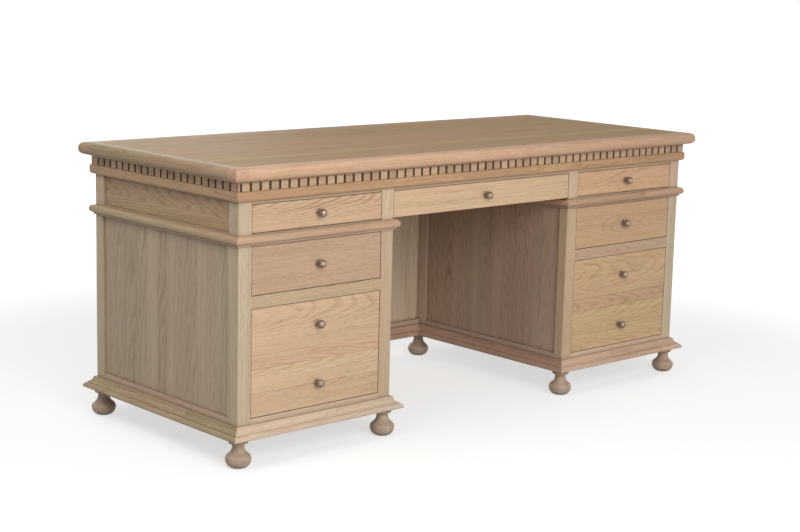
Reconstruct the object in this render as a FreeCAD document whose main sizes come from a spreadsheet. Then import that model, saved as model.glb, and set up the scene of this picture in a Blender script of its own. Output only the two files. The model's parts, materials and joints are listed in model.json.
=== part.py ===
import FreeCAD, Part
import math
import operator
import os

import Sketcher

# Executive desk in oak: a top with a rounded nosing and a dentil cornice, an upper case with three
# drawers, and two pedestals joined by a modesty panel, each with an upper drawer and a deep file drawer.
# Frame: origin on the floor under the middle of the desk, X along its length, drawers facing -Y, Z up.
# All sizes are in millimetres.

SIZES = {
    # Whole desk
    "carcass_length": 1728,
    "carcass_depth": 662,
    "foot_height": 78,
    "pedestal_height": 525.5,
    "upper_height": 136,
    "top_thickness": 34,
    "top_overhang": 34,
    "pedestal_length": 515,
    # Top
    "lipping_width": 38,
    "nosing_round": 15,
    "glue_block_length": 60,
    "glue_block_width": 22,
    "glue_block_height": 20,
    # Cornice, from the top down
    "fillet_height": 5,
    "fillet_projection": 8.5,
    "fillet_round": 1.5,
    "dentil_height": 21.5,
    "dentil_projection": 7.5,
    "dentil_pitch": 30.45,
    "dentil_kerf": 7.6,
    "dentil_kerf_depth": 6,
    "dentil_end_land": 4.5,
    "band_height": 26.5,
    "band_projection": 12,
    "band_upper_round": 5,
    "band_lower_round": 9,
    # Posts, rails and panels
    "post_width": 41,
    "outer_front_post_depth": 44,
    "outer_back_post_depth": 34,
    "inner_front_post_depth": 31,
    "inner_back_post_depth": 56,
    "upper_post_depth": 40,
    "rail_thickness": 24,
    "frieze_rail_height": 60.5,
    "waist_rail_height": 31,
    "middle_rail_height": 32.5,
    "bottom_rail_height": 47.5,
    "tenon_length": 15,
    "tenon_thickness": 10,
    "tenon_inset": 7,
    "tenon_shoulder": 7,
    "tenon_wall": 2,
    "file_opening_height": 286,
    "panel_thickness": 12,
    "panel_recess": 6,
    "panel_tongue": 8,
    "modesty_thickness": 30,
    "modesty_recess": 14,
    # Partitions, boards, guides and stops
    "partition_thickness": 16,
    "board_thickness": 12,
    "upper_board_thickness": 10,
    "guide_height": 20,
    "runner_height": 12,
    "runner_ledge": 12,
    "runner_lift": 2,
    "stop_height": 6,
    "stop_length": 40,
    "stop_depth": 20,
    "stop_inset": 60,
    # Waist and base mouldings
    "waist_height": 28,
    "waist_projection": 15,
    "waist_bead_radius": 11.25,
    "waist_lip_projection": 5,
    "waist_lip_height": 5,
    "waist_lip_round": 3,
    "waist_quirk": 1.5,
    "base_height": 32.5,
    "base_projection": 30,
    "base_toe_height": 5,
    "base_toe_round": 3,
    "base_nose_width": 8.5,
    "base_nose_height": 9,
    "base_nose_radius": 16,
    "base_step": 1.5,
    "base_step_height": 2,
    "base_cove_width": 11.5,
    "base_cove_height": 11.5,
    "base_cove_radius": 20,
    "base_lip_round": 3,
    # Turned feet
    "foot_inset": 12.4,
    "foot_pad_radius": 12,
    "foot_bulb_radius": 34,
    "foot_bulb_height": 23.5,
    "foot_shoulder_radius": 16,
    "foot_neck_radius": 16,
    "foot_neck_height": 57,
    "foot_flange_radius": 25,
    "foot_flange_thickness": 12,
    "foot_spigot_radius": 10,
    "foot_spigot_length": 22,
    # Drawers
    "drawer_gap": 1.5,
    "drawer_run_gap": 0.3,
    "drawer_front_thickness": 20,
    "drawer_front_round": 1.5,
    "drawer_back_room": 64,
    "drawer_side_thickness": 12,
    "drawer_back_thickness": 12,
    "drawer_back_inset": 10,
    "drawer_back_housing": 4,
    "drawer_bottom_thickness": 6,
    "drawer_bottom_rise": 8,
    "drawer_groove_depth": 6,
    "frieze_side_headroom": 7.5,
    "upper_side_headroom": 20.5,
    "file_side_headroom": 36,
    "dovetail_length": 12,
    "dovetail_pitch": 26,
    # Knobs
    "knob_radius": 11,
    "knob_reach": 17,
    "knob_rose_radius": 8.5,
    "knob_rose_thickness": 2.5,
    "knob_rose_round": 1.5,
    "knob_stem_radius": 4.2,
    "knob_spigot_radius": 3.5,
    "knob_spigot_length": 14,
    "file_knob_inset": 62,
    "bore_clearance": 0.15,
}

# Where the glue blocks over the kneehole sit in each half of it, and the half width of a dovetail in its
# pitch.
GLUE_BLOCK_SHARE = 0.6
TAIL_END_SHARE = 0.33
TAIL_ROOT_SHARE = 0.23

# How closely the middle of an edge must agree with a place for the edge to be picked there.
PICKING_TOLERANCE = 0.001

ACROSS = FreeCAD.Vector(1, 0, 0)
UPRIGHT = FreeCAD.Vector(0, 0, 1)

OPERATIONS = {"+": operator.add, "-": operator.sub, "*": operator.mul, "/": operator.truediv}


class Size:
    """A length that knows its value and the sheet expression that gives it."""

    def __init__(self, value, text):
        self.value = value
        self.text = text

    def combined(self, sign, other):
        if not isinstance(other, Size):
            other = Size(other, str(other))
        return Size(OPERATIONS[sign](self.value, other.value), f"({self.text} {sign} {other.text})")

    def __add__(self, other):
        return self.combined("+", other)

    def __sub__(self, other):
        return self.combined("-", other)

    def __mul__(self, other):
        return self.combined("*", other)

    def __truediv__(self, other):
        return self.combined("/", other)

    def __neg__(self):
        return ZERO - self


ZERO = Size(0, "0")


def root(area):
    return Size(math.sqrt(area.value), f"sqrt({area.text})")


def whole(ratio):
    return Size(math.floor(ratio.value), f"floor({ratio.text})")


class Sheet:
    """The spreadsheet of driving sizes, each also an attribute of this object."""

    def __init__(self, document, sizes):
        cells = document.addObject("Spreadsheet::Sheet", "Sizes")
        for row, (alias, value) in enumerate(sizes.items(), 1):
            cells.set(f"A{row}", alias)
            cells.set(f"B{row}", str(value))
            cells.setAlias(f"B{row}", alias)
            setattr(self, alias, Size(value, f"Sizes.{alias}"))


doc = FreeCAD.newDocument("executive_desk")
size = Sheet(doc, SIZES)
doc.recompute()
nodes = []


# General helpers

def bind(feature, path, length):
    feature.setExpression(path, length.text)


def place(feature, x, y, z, axis=UPRIGHT, degrees=0):
    """Puts a feature's own origin at x, y, z, turned about an axis."""
    feature.Placement = FreeCAD.Placement(FreeCAD.Vector(), FreeCAD.Rotation(axis, degrees))
    bind(feature, "Placement.Base.x", x)
    bind(feature, "Placement.Base.y", y)
    bind(feature, "Placement.Base.z", z)


def compound(name, pieces):
    group = doc.addObject("Part::Compound", name)
    group.Links = pieces
    return group


def node(label, pieces):
    """Names a sub-part. Several solids of one kind share a compound."""
    part = pieces[0] if len(pieces) == 1 else compound(f"{label}_group", pieces)
    part.Label = label
    nodes.append(part)


def board(name, x, y, z):
    """A straight piece between two places along each axis."""
    piece = doc.addObject("Part::Box", name)
    bind(piece, "Length", x[1] - x[0])
    bind(piece, "Width", y[1] - y[0])
    bind(piece, "Height", z[1] - z[0])
    place(piece, x[0], y[0], z[0])
    return piece


def bore(name, x, y, z, radius, depth, axis=UPRIGHT, degrees=0):
    """The round hole to cut for a spigot, as a cylinder from x, y, z along the turned Z axis."""
    hole = doc.addObject("Part::Cylinder", name)
    bind(hole, "Radius", radius)
    bind(hole, "Height", depth)
    place(hole, x, y, z, axis, degrees)
    return hole


def housed(name, piece, tools):
    """A piece with housings for the pieces that seat in it."""
    for count, tool in enumerate(tools, 1):
        cut = doc.addObject("Part::Cut", f"{name}_housed_{count}")
        cut.Base = piece
        cut.Tool = tool
        piece = cut
    return piece


def tenoned(name, x, y, z, core, mortises):
    """A rail whose core, a longer and thinner box, ends in tenons. The cores are also cut from the posts."""
    tenons = board(f"{name}_tenons", *core)
    mortises.append(tenons)
    rail = doc.addObject("Part::Fuse", name)
    rail.Base = board(f"{name}_shoulders", x, y, z)
    rail.Tool = tenons
    return rail


def grown(span, length):
    return (span[0] - length, span[1] + length)


def shrunk(span, length):
    return (span[0] + length, span[1] - length)


def mirrored(side, low, high):
    """A span along X on the right (side 1), or its mirror image on the left (side -1)."""
    return (low, high) if side > 0 else (-high, -low)


# Sketches and features

def origin_plane(body, role):
    return next(feature for feature in body.Origin.OriginFeatures if feature.Role == role)


def arc_between(start, end, radius, turn):
    """The shorter arc from start to end: a turn of 1 is counter-clockwise and of -1 clockwise."""
    chord = end - start
    height = math.sqrt(radius ** 2 - (chord.Length / 2) ** 2)
    across = FreeCAD.Vector(-chord.y, chord.x, 0).normalize()
    centre = (start + end) / 2 + across * (height * turn)
    limits = (start, end) if turn > 0 else (end, start)
    angles = [math.atan2(point.y - centre.y, point.x - centre.x) for point in limits]
    circle = Part.Circle(centre, UPRIGHT, radius)
    return Part.ArcOfCircle(circle, angles[0], angles[1])


def fix_point(sketch, edge, end, x, y):
    """Ties the end of an edge to its place, measured from the sketch's origin."""
    if x is ZERO and y is ZERO:
        sketch.addConstraint(Sketcher.Constraint("Coincident", edge, end, -1, 1))
        return
    for kind, length, axis in (("DistanceX", x, -2), ("DistanceY", y, -1)):
        if length is ZERO:
            sketch.addConstraint(Sketcher.Constraint("PointOnObject", edge, end, axis))
        else:
            tie = Sketcher.Constraint(kind, -1, 1, edge, end, length.value)
            bind(sketch, f"Constraints[{sketch.addConstraint(tie)}]", length)


def outline(body, name, role, loops):
    """A sketch of closed loops on an origin plane of the body.

    A loop is a list of corners (x, y). A corner (x, y, radius, turn) is reached by an arc.
    """
    sketch = body.newObject("Sketcher::SketchObject", name)
    sketch.AttachmentSupport = [(origin_plane(body, role), "")]
    sketch.MapMode = "FlatFace"
    for corners in loops:
        first = sketch.GeometryCount
        points = [FreeCAD.Vector(corner[0].value, corner[1].value, 0) for corner in corners]
        ends = []
        for index, corner in enumerate(corners):
            if len(corner) == 2:
                sketch.addGeometry(Part.LineSegment(points[index - 1], points[index]))
                ends.append((1, 2))
            else:
                radius, turn = corner[2:]
                arc = arc_between(points[index - 1], points[index], radius.value, turn)
                edge = sketch.addGeometry(arc)
                tie = sketch.addConstraint(Sketcher.Constraint("Radius", edge, radius.value))
                bind(sketch, f"Constraints[{tie}]", radius)
                ends.append((1, 2) if turn > 0 else (2, 1))
        for index, corner in enumerate(corners):
            edge = first + index
            after = (index + 1) % len(corners)
            joined = Sketcher.Constraint("Coincident", edge, ends[index][1], first + after, ends[after][0])
            sketch.addConstraint(joined)
            fix_point(sketch, edge, ends[index][1], corner[0], corner[1])
    return sketch


def rectangle(x, y):
    return [(x[0], y[0]), (x[1], y[0]), (x[1], y[1]), (x[0], y[1])]


def new_body(name):
    return doc.addObject("PartDesign::Body", name)


def pad(body, sketch, length):
    feature = body.newObject("PartDesign::Pad", f"{sketch.Name}_pad")
    feature.Profile = sketch
    bind(feature, "Length", length)
    return feature


def pocket_through(body, sketch):
    feature = body.newObject("PartDesign::Pocket", f"{sketch.Name}_pocket")
    feature.Profile = sketch
    feature.Type = "ThroughAll"
    feature.SideType = "Symmetric"
    return feature


def repeated(body, feature, sketch, axis, pitch, count, backwards=False):
    """A row of copies of a feature along an axis of its sketch."""
    row = body.newObject("PartDesign::LinearPattern", f"{feature.Name}_row")
    row.Originals = [feature]
    row.Direction = (sketch, [axis])
    row.Reversed = backwards
    row.Mode = "Spacing"
    bind(row, "Offset", pitch)
    bind(row, "Occurrences", count)
    body.Tip = row
    return row


def turned(body, sketch):
    """Revolves a sketch about its own upright axis."""
    feature = body.newObject("PartDesign::Revolution", f"{sketch.Name}_turned")
    feature.Profile = sketch
    feature.ReferenceAxis = (sketch, ["V_Axis"])
    feature.Angle = 360
    return feature


def rounded(body, base, radius, picks):
    """Rounds the edges of a feature whose middles the test picks."""
    base.recompute(True)
    edges = [f"Edge{number}" for number, edge in enumerate(base.Shape.Edges, 1) if picks(edge.CenterOfMass)]
    feature = body.newObject("PartDesign::Fillet", f"{body.Name}_rounds")
    feature.Base = (base, edges)
    bind(feature, "Radius", radius)
    return feature


def same(value, length):
    return math.isclose(value, length.value, abs_tol=PICKING_TOLERANCE)


# Levels and faces that pieces share

half_length = size.carcass_length / 2
half_depth = size.carcass_depth / 2
front = -half_depth
back = half_depth
kneehole = half_length - size.pedestal_length
inner_bay = kneehole + size.post_width
outer_bay = half_length - size.post_width

underside = size.foot_height
bottom_level = underside + size.bottom_rail_height
middle_bottom = bottom_level + size.file_opening_height
middle_top = middle_bottom + size.middle_rail_height
waist_top = underside + size.pedestal_height
waist_bottom = waist_top - size.waist_rail_height
case_top = waist_top + size.upper_height
frieze_top = case_top - size.frieze_rail_height
cornice_height = size.fillet_height + size.dentil_height + size.band_height
cornice_bottom = case_top - cornice_height

panel_face = size.panel_recess
panel_hidden_face = panel_face + size.panel_thickness
grooved_z = (bottom_level - size.panel_tongue, waist_bottom + size.panel_tongue)
front_rail_y = (front, front + size.rail_thickness)
back_rail_y = (back - size.rail_thickness, back)
tenon_hidden_face = size.tenon_inset + size.tenon_thickness
front_tenon_y = (front + size.tenon_inset, front + tenon_hidden_face)
back_tenon_y = (back - tenon_hidden_face, back - size.tenon_inset)
bottom_tenon_z = (underside + size.foot_spigot_length + size.tenon_wall, grooved_z[0] - size.tenon_wall)
waist_tenon_z = (grooved_z[1] + size.tenon_wall, waist_top - size.tenon_shoulder)
upper_tenon_z = (cornice_bottom + size.panel_tongue + size.tenon_wall, case_top - size.tenon_shoulder)
back_panel_y = (back - panel_hidden_face, back - panel_face)
modesty_y = (back - size.modesty_thickness, back)
partition_x = shrunk((kneehole, inner_bay), (size.post_width - size.partition_thickness) / 2)
upper_post_y = (front + size.upper_post_depth, back - size.upper_post_depth)
upper_board_top = waist_top + size.upper_board_thickness
centre_runner_z = (waist_top + size.runner_lift, waist_top + size.runner_lift + size.runner_height)
drawer_stop_y = front + size.drawer_front_thickness + size.drawer_run_gap
drawer_back = back_panel_y[0] - size.drawer_back_room


# Top

def lipping(name, length, wraps_ends):
    """An edge lipping with its nosing on the outer side, and round both ends if it wraps them."""
    body = new_body(name)
    plan = outline(body, f"{name}_plan", "XY_Plane", [rectangle((ZERO, length), (ZERO, size.lipping_width))])
    strip = pad(body, plan, size.top_thickness)

    def nosed(middle):
        at_end = same(middle.x, ZERO) or same(middle.x, length)
        at_face = same(middle.z, ZERO) or same(middle.z, size.top_thickness)
        return at_face and (same(middle.y, size.lipping_width) or (wraps_ends and at_end))

    rounded(body, strip, size.nosing_round, nosed)
    return body


def desk_top():
    edge_x = half_length + size.top_overhang
    edge_y = half_depth + size.top_overhang
    field_x = edge_x - size.lipping_width
    field_y = edge_y - size.lipping_width
    field_z = (case_top, case_top + size.top_thickness)
    node("top_field", [board("field", (-field_x, field_x), (-field_y, field_y), field_z)])
    front_lipping = lipping("front_lipping", edge_x * 2, True)
    place(front_lipping, edge_x, -field_y, case_top, UPRIGHT, 180)
    back_lipping = lipping("back_lipping", edge_x * 2, True)
    place(back_lipping, -edge_x, field_y, case_top)
    left_lipping = lipping("left_lipping", field_y * 2, False)
    place(left_lipping, -field_x, -field_y, case_top, UPRIGHT, 90)
    right_lipping = lipping("right_lipping", field_y * 2, False)
    place(right_lipping, field_x, field_y, case_top, UPRIGHT, -90)
    node("top_front_lipping", [front_lipping])
    node("top_back_lipping", [back_lipping])
    node("top_end_lippings", [left_lipping, right_lipping])


def glue_blocks():
    """Blocks that hold the top to the front and back top rails in every bay."""
    z = (case_top - size.glue_block_height, case_top)
    front_y = (front_rail_y[1], front_rail_y[1] + size.glue_block_width)
    back_y = (back_rail_y[0] - size.glue_block_width, back_rail_y[0])
    blocks = []
    for side in (-1, 1):
        for middle in (kneehole * GLUE_BLOCK_SHARE, (inner_bay + outer_bay) / 2):
            x = mirrored(side, middle - size.glue_block_length / 2, middle + size.glue_block_length / 2)
            for y in (front_y, back_y):
                blocks.append(board(f"glue_block_{len(blocks) + 1}", x, y, z))
    node("top_fixing_blocks", blocks)


# Mouldings that run round the carcass, mitred at each corner

def moulding(name, profile, length, projection, ends):
    """A length of moulding along X with its back on Y = 0 and its face towards +Y.

    Each end is mitred: an outside mitre runs past the wall by the projection, and an inside one stops at it.
    """
    body = new_body(name)
    pad(body, outline(body, f"{name}_profile", "YZ_Plane", [profile]), length)
    start, end = ends
    cuts = []
    if start == "outside":
        cuts.append([(ZERO, ZERO), (projection, ZERO), (ZERO, projection)])
    else:
        cuts.append([(ZERO, ZERO), (projection, projection), (ZERO, projection)])
    if end == "outside":
        cuts.append([(length - projection, ZERO), (length, ZERO), (length, projection)])
    else:
        cuts.append([(length, ZERO), (length, projection), (length - projection, projection)])
    pocket_through(body, outline(body, f"{name}_mitres", "XY_Plane", cuts))
    return body


def moulding_ring(label, profile, projection, z, corners):
    """Mitred mouldings round a loop of wall corners, walked clockwise seen from above.

    A corner (x, y, mitre) names the mitre there. Walls run along X or Y.
    """
    pieces = []
    for index, (x, y, mitre) in enumerate(corners):
        next_x, next_y, next_mitre = corners[(index + 1) % len(corners)]
        run = (next_x - x) if y is next_y else (next_y - y)
        forwards = 1 if run.value > 0 else -1
        reach = run * forwards
        before = projection if mitre == "outside" else ZERO
        after = projection if next_mitre == "outside" else ZERO
        name = f"{label}_{index + 1}"
        piece = moulding(name, profile, before + reach + after, projection, (mitre, next_mitre))
        if y is next_y:
            place(piece, x - before * forwards, y, z, UPRIGHT, 0 if forwards > 0 else 180)
        else:
            place(piece, x, y - before * forwards, z, UPRIGHT, 90 * forwards)
        pieces.append(piece)
    node(label, pieces)


def outer_corners():
    """The four corners of the upper case."""
    left = -half_length
    return [
        (left, back, "outside"),
        (half_length, back, "outside"),
        (half_length, front, "outside"),
        (left, front, "outside"),
    ]


def kneehole_corners():
    """The eight corners of the two pedestals and the modesty frame between them."""
    left = -half_length
    inner_left = -kneehole
    modesty_front = modesty_y[0]
    return [
        (left, back, "outside"),
        (half_length, back, "outside"),
        (half_length, front, "outside"),
        (kneehole, front, "outside"),
        (kneehole, modesty_front, "inside"),
        (inner_left, modesty_front, "inside"),
        (inner_left, front, "outside"),
        (left, front, "outside"),
    ]


def cornice_fillet():
    reach = size.fillet_projection
    edge = size.fillet_round
    profile = [
        (ZERO, ZERO),
        (reach - edge, ZERO),
        (reach, edge, edge, 1),
        (reach, size.fillet_height),
        (ZERO, size.fillet_height),
    ]
    moulding_ring("cornice_fillet", profile, reach, case_top - size.fillet_height, outer_corners())


def cornice_band():
    reach = size.band_projection
    lower = size.band_lower_round
    upper = size.band_upper_round
    profile = [
        (ZERO, ZERO),
        (reach - lower, ZERO),
        (reach, lower, lower, 1),
        (reach, size.band_height - upper),
        (reach - upper, size.band_height, upper, 1),
        (ZERO, size.band_height),
    ]
    moulding_ring("cornice_band", profile, reach, cornice_bottom, outer_corners())


def waist_moulding():
    """A small lip below a large bead."""
    reach = size.waist_projection
    lip = size.waist_lip_projection
    bead = size.waist_bead_radius
    centre_x = reach - bead
    centre_y = size.waist_height - bead
    quirk_x = lip - size.waist_quirk
    quirk_y = centre_y - root(bead * bead - (quirk_x - centre_x) * (quirk_x - centre_x))
    profile = [
        (ZERO, ZERO),
        (lip - size.waist_lip_round, ZERO),
        (lip, size.waist_lip_round, size.waist_lip_round, 1),
        (lip, size.waist_lip_height),
        (quirk_x, quirk_y),
        (reach, centre_y, bead, 1),
        (centre_x, size.waist_height, bead, 1),
        (ZERO, size.waist_height),
    ]
    moulding_ring("waist_moulding", profile, reach, waist_bottom, kneehole_corners())


def base_moulding():
    """A toe, a flat nose and a shallow cove, with a step between them, and a rounded lip."""
    reach = size.base_projection
    nose_x = reach - size.base_nose_width
    nose_y = size.base_toe_height + size.base_nose_height
    step_x = nose_x - size.base_step
    step_y = nose_y + size.base_step_height
    lip_x = step_x - size.base_cove_width
    lip_y = step_y + size.base_cove_height
    edge = size.base_lip_round
    profile = [
        (ZERO, ZERO),
        (reach - size.base_toe_round, ZERO),
        (reach, size.base_toe_round, size.base_toe_round, 1),
        (reach, size.base_toe_height),
        (nose_x, nose_y, size.base_nose_radius, 1),
        (step_x, nose_y),
        (step_x, step_y),
        (lip_x, lip_y, size.base_cove_radius, -1),
        (lip_x, size.base_height - edge),
        (lip_x - edge, size.base_height, edge, 1),
        (ZERO, size.base_height),
    ]
    moulding_ring("base_moulding", profile, reach, underside, kneehole_corners())


# Dentil course

def dentil_strip(name, length, end_land, count):
    """A strip along X, kerfed into dentils on its +Y face. The end land is at its far end."""
    body = new_body(name)
    reach = size.dentil_projection
    plan = outline(body, f"{name}_plan", "XY_Plane", [rectangle((ZERO, length), (ZERO, reach))])
    pad(body, plan, size.dentil_height)
    kerf_end = length - end_land
    kerf_x = (kerf_end - size.dentil_kerf, kerf_end)
    kerf_y = (reach - size.dentil_kerf_depth, reach)
    kerf = outline(body, f"{name}_kerf", "XY_Plane", [rectangle(kerf_x, kerf_y)])
    slot = pocket_through(body, kerf)
    repeated(body, slot, kerf, "H_Axis", size.dentil_pitch, count, backwards=True)
    return body


def dentil_course():
    """Front and back strips that cover the ends of the strips at the desk's two ends."""
    z = cornice_bottom + size.band_height
    edge_x = half_length + size.dentil_projection
    long_length = edge_x * 2
    long_count = whole((long_length - size.dentil_end_land - size.dentil_kerf) / size.dentil_pitch) + 1
    front_strip = dentil_strip("front_dentils", long_length, size.dentil_end_land, long_count)
    place(front_strip, edge_x, front, z, UPRIGHT, 180)
    back_strip = dentil_strip("back_dentils", long_length, size.dentil_end_land, long_count)
    place(back_strip, -edge_x, back, z)
    short_length = size.carcass_depth
    short_count = whole((short_length - size.dentil_kerf) / size.dentil_pitch)
    short_land = (short_length - size.dentil_kerf - size.dentil_pitch * (short_count - 1)) / 2
    left_strip = dentil_strip("left_dentils", short_length, short_land, short_count)
    place(left_strip, -half_length, front, z, UPRIGHT, 90)
    right_strip = dentil_strip("right_dentils", short_length, short_land, short_count)
    place(right_strip, half_length, back, z, UPRIGHT, -90)
    node("dentil_strip_front", [front_strip])
    node("dentil_strip_back", [back_strip])
    node("dentil_strips_ends", [left_strip, right_strip])


# Upper case

def upper_case():
    post_z = (waist_top, case_top)
    rail_z = (cornice_bottom, case_top)
    panel_z = (waist_top, cornice_bottom + size.panel_tongue)
    front_post_y = (front, upper_post_y[0])
    back_post_y = (upper_post_y[1], back)
    posts = []
    for side in (-1, 1):
        for x in (mirrored(side, kneehole, inner_bay), mirrored(side, outer_bay, half_length)):
            for y in (front_post_y, back_post_y):
                posts.append(board(f"upper_post_{len(posts) + 1}", x, y, post_z))

    bays = [mirrored(-1, inner_bay, outer_bay), (-kneehole, kneehole), (inner_bay, outer_bay)]
    frieze_z = (frieze_top, case_top)
    rails = []
    grooved_rails = []
    mortises = []
    panels = []
    for number, x in enumerate(bays, 1):
        tenon_x = grown(x, size.tenon_length)
        core = (tenon_x, front_tenon_y, shrunk(frieze_z, size.tenon_shoulder))
        rails.append(tenoned(f"frieze_rail_{number}", x, front_rail_y, frieze_z, core, mortises))
        core = (tenon_x, back_tenon_y, upper_tenon_z)
        grooved_rails.append(tenoned(f"upper_back_rail_{number}", x, back_rail_y, rail_z, core, mortises))
        panels.append(board(f"upper_back_panel_{number}", grown(x, size.panel_tongue), back_panel_y, panel_z))
    for side, name in ((-1, "left"), (1, "right")):
        rail_x = mirrored(side, half_length - size.rail_thickness, half_length)
        tenon_x = mirrored(side, half_length - tenon_hidden_face, half_length - size.tenon_inset)
        core = (tenon_x, grown(upper_post_y, size.tenon_length), upper_tenon_z)
        grooved_rails.append(tenoned(f"upper_{name}_rail", rail_x, upper_post_y, rail_z, core, mortises))
        panel_x = mirrored(side, half_length - panel_hidden_face, half_length - panel_face)
        panels.append(board(f"upper_{name}_panel", panel_x, grown(upper_post_y, size.panel_tongue), panel_z))

    grooves = compound("upper_grooves", panels)
    sockets = compound("upper_mortises", mortises)
    node("upper_case_posts", [housed(post.Name, post, [grooves, sockets]) for post in posts])
    node("upper_case_rails", rails + [housed(rail.Name, rail, [grooves]) for rail in grooved_rails])
    node("upper_case_panels", panels)
    upper_case_inside(posts)


def upper_case_inside(posts):
    """Partitions beside the centre drawer, dust boards under the outer ones, and what guides all three."""
    post_space = compound("upper_post_space", posts)
    guide_x = (outer_bay, half_length - panel_hidden_face)
    board_x = (partition_x[1], guide_x[1])
    board_y = (drawer_stop_y, back_panel_y[0])
    guide_z = (upper_board_top, upper_board_top + size.guide_height)
    runner_x = (kneehole - size.runner_ledge, partition_x[0])
    centre_guide_z = (centre_runner_z[1], centre_runner_z[1] + size.guide_height)
    partitions = []
    boards = []
    runners = []
    for side, name in ((-1, "left"), (1, "right")):
        x = mirrored(side, *partition_x)
        partitions.append(board(f"{name}_partition", x, upper_post_y, (waist_top, case_top)))
        x = mirrored(side, *board_x)
        dust_board = board(f"{name}_upper_board", x, board_y, (waist_top, upper_board_top))
        boards.append(housed(dust_board.Name, dust_board, [post_space]))
        runners.append(board(f"{name}_outer_guide", mirrored(side, *guide_x), upper_post_y, guide_z))
        x = mirrored(side, partition_x[1], inner_bay)
        runners.append(board(f"{name}_inner_guide", x, upper_post_y, guide_z))
        x = mirrored(side, kneehole, partition_x[0])
        runners.append(board(f"{name}_centre_guide", x, upper_post_y, centre_guide_z))
        x = mirrored(side, *runner_x)
        runner = board(f"{name}_centre_runner", x, (drawer_stop_y, upper_post_y[1]), centre_runner_z)
        runners.append(housed(runner.Name, runner, [post_space]))
    node("upper_case_partitions", partitions)
    node("upper_case_dust_boards", boards)
    node("upper_case_runners", runners)


# Modesty frame across the back of the kneehole

def modesty():
    """Returns what seats in the pedestals: the panel's edges and the rails' tenons."""
    x = (-kneehole, kneehole)
    panel_front = modesty_y[0] + size.modesty_recess
    panel_y = (panel_front, panel_front + size.panel_thickness)
    panel = board("modesty_board", grown(x, size.panel_tongue), panel_y, grooved_z)
    tenon_x = grown(x, size.tenon_length)
    tenon_y = shrunk(modesty_y, (size.modesty_thickness - size.tenon_thickness) / 2)
    waist_z = (waist_bottom, waist_top)
    bottom_z = (underside, bottom_level)
    seated = [panel]
    rails = [
        tenoned("modesty_top_rail", x, modesty_y, waist_z, (tenon_x, tenon_y, waist_tenon_z), seated),
        tenoned("modesty_bottom_rail", x, modesty_y, bottom_z, (tenon_x, tenon_y, bottom_tenon_z), seated),
    ]
    node("modesty_rails", [housed(rail.Name, rail, [panel]) for rail in rails])
    node("modesty_panel", [panel])
    return seated


# Pedestals

def foot_places(side):
    """The middles of the four feet of a pedestal, each one inset from two faces of its corner."""
    places = []
    for x in mirrored(side, kneehole + size.foot_inset, half_length - size.foot_inset):
        for y in shrunk((front, back), size.foot_inset):
            places.append((x, y))
    return places


def pedestal(side, name, modesty_pieces):
    outer_x = mirrored(side, outer_bay, half_length)
    inner_x = mirrored(side, kneehole, inner_bay)
    bay_x = mirrored(side, inner_bay, outer_bay)
    outer_y = (front + size.outer_front_post_depth, back - size.outer_back_post_depth)
    inner_y = (front + size.inner_front_post_depth, back - size.inner_back_post_depth)
    outer_panel_x = mirrored(side, half_length - panel_hidden_face, half_length - panel_face)
    inner_panel_x = mirrored(side, kneehole + panel_face, kneehole + panel_hidden_face)

    post_z = (underside, waist_top)
    posts = [
        board(f"{name}_outer_front_post", outer_x, (front, outer_y[0]), post_z),
        board(f"{name}_outer_back_post", outer_x, (outer_y[1], back), post_z),
        board(f"{name}_inner_front_post", inner_x, (front, inner_y[0]), post_z),
        board(f"{name}_inner_back_post", inner_x, (inner_y[1], back), post_z),
    ]
    panels = [
        board(f"{name}_outer_panel", outer_panel_x, grown(outer_y, size.panel_tongue), grooved_z),
        board(f"{name}_inner_panel", inner_panel_x, grown(inner_y, size.panel_tongue), grooved_z),
        board(f"{name}_back_panel", grown(bay_x, size.panel_tongue), back_panel_y, grooved_z),
    ]
    plain_rails, grooved_rails, mortises = pedestal_rails(side, name, bay_x, outer_y, inner_y)
    grooves = compound(f"{name}_grooves", panels)
    sockets = compound(f"{name}_mortises", mortises)
    modesty_seats = compound(f"{name}_modesty_seats", modesty_pieces)

    bores = []
    for number, (x, y) in enumerate(foot_places(side), 1):
        radius = size.foot_spigot_radius + size.bore_clearance
        bores.append(bore(f"{name}_foot_bore_{number}", x, y, underside, radius, size.foot_spigot_length))
    spigots = compound(f"{name}_foot_bores", bores)

    cuts = [grooves, spigots, sockets, modesty_seats]
    node(f"{name}_pedestal_posts", [housed(post.Name, post, cuts) for post in posts])
    grooved_rails = [housed(rail.Name, rail, [grooves]) for rail in grooved_rails]
    node(f"{name}_pedestal_rails", plain_rails + grooved_rails)
    node(f"{name}_pedestal_panels", panels)
    pedestal_inside(side, name, posts, outer_y, inner_y)


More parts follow.
